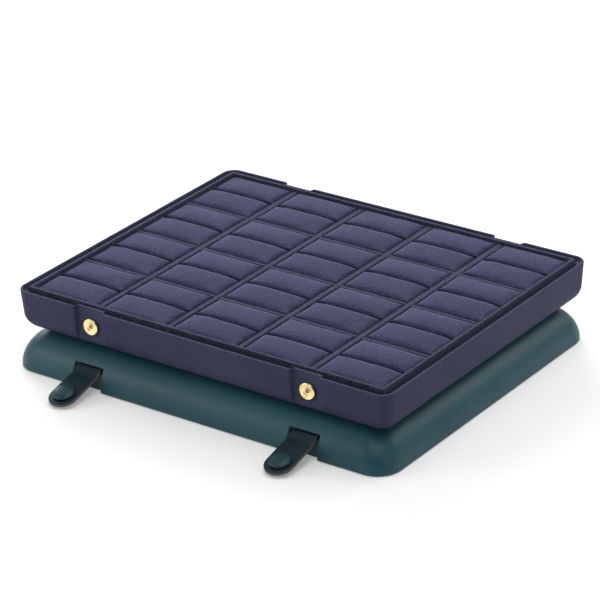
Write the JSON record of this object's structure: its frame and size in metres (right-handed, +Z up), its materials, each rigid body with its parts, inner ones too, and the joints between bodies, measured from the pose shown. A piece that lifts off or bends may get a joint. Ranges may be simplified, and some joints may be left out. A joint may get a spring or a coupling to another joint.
{
  "type": "jewelry case",
  "caption": "Open ring tray with cushioned slit cells in navy, standing on its own upturned teal lid with press-stud straps.",
  "frame": {"origin": "centre of the lid's rim, on the table", "axes": "+X along the long side, -Y to the front with the straps seen in the picture, +Z up out of the tray"},
  "size_m": [0.243, 0.2478, 0.0452],
  "materials": {
    "teal_leatherette": "fine grained, semi-matte",
    "navy_leatherette": "fine grained, semi-matte",
    "strap_leather": "fine grained, raw pinkish grey edge",
    "shell_board": "plain moulded shell, hidden",
    "card": "plain fibreboard, hidden",
    "navy_suede": "suede cloth over board",
    "pad_suede": "suede cloth over foam",
    "lining_suede": "suede cloth",
    "brass": "polished"
  },
  "bodies": {
    "lid": {"lid_cover": "teal_leatherette", "lid_core": "shell_board", "lid_lining": "lining_suede"},
    "tray": {"tray_cover": "navy_leatherette", "tray_core": "shell_board", "insert_frame": "navy_suede", "insert_base": "card", "divider_long_1": "navy_suede", "divider_long_2": "navy_suede", "divider_long_3": "navy_suede", "divider_long_4": "navy_suede", "divider_cross_1": "navy_suede", "divider_cross_2": "navy_suede", "divider_cross_3": "navy_suede", "ring_pad_c1_r1": "pad_suede", "ring_pad_c1_r2": "pad_suede", "ring_pad_c1_r3": "pad_suede", "ring_pad_c1_r4": "pad_suede", "ring_pad_c2_r1": "pad_suede", "ring_pad_c2_r2": "pad_suede", "ring_pad_c2_r3": "pad_suede", "ring_pad_c2_r4": "pad_suede", "ring_pad_c3_r1": "pad_suede", "ring_pad_c3_r2": "pad_suede", "ring_pad_c3_r3": "pad_suede", "ring_pad_c3_r4": "pad_suede", "ring_pad_c4_r1": "pad_suede", "ring_pad_c4_r2": "pad_suede", "ring_pad_c4_r3": "pad_suede", "ring_pad_c4_r4": "pad_suede", "ring_pad_c5_r1": "pad_suede", "ring_pad_c5_r2": "pad_suede", "ring_pad_c5_r3": "pad_suede", "ring_pad_c5_r4": "pad_suede", "snap_socket_front_left": "brass", "socket_washer_front_left": "brass", "snap_socket_front_right": "brass", "socket_washer_front_right": "brass", "snap_socket_back_left": "brass", "socket_washer_back_left": "brass", "snap_socket_back_right": "brass", "socket_washer_back_right": "brass"},
    "strap_front_left": {"strap_front_left": "strap_leather", "snap_cap_front_left": "strap_leather", "snap_stud_front_left": "brass"},
    "strap_front_right": {"strap_front_right": "strap_leather", "snap_cap_front_right": "strap_leather", "snap_stud_front_right": "brass"},
    "strap_back_left": {"strap_back_left": "strap_leather", "snap_cap_back_left": "strap_leather", "snap_stud_back_left": "brass"},
    "strap_back_right": {"strap_back_right": "strap_leather", "snap_cap_back_right": "strap_leather", "snap_stud_back_right": "brass"}
  },
  "joints": [
    {"name": "tray_lift", "type": "slide", "parent": "lid", "child": "tray", "axis": [0, 0, 1], "range_m": [0, 0.1]},
    {"name": "strap_hinge_front_left", "type": "hinge", "parent": "lid", "child": "strap_front_left", "pos_m": [-0.07, -0.09425, 0.0114], "axis": [-1, 0, 0], "range_deg": [0, 75]},
    {"name": "strap_hinge_front_right", "type": "hinge", "parent": "lid", "child": "strap_front_right", "pos_m": [0.07, -0.09425, 0.0114], "axis": [-1, 0, 0], "range_deg": [0, 75]},
    {"name": "strap_hinge_back_left", "type": "hinge", "parent": "lid", "child": "strap_back_left", "pos_m": [-0.07, 0.09425, 0.0114], "axis": [1, 0, 0], "range_deg": [0, 75]},
    {"name": "strap_hinge_back_right", "type": "hinge", "parent": "lid", "child": "strap_back_right", "pos_m": [0.07, 0.09425, 0.0114], "axis": [1, 0, 0], "range_deg": [0, 75]}
  ]
}
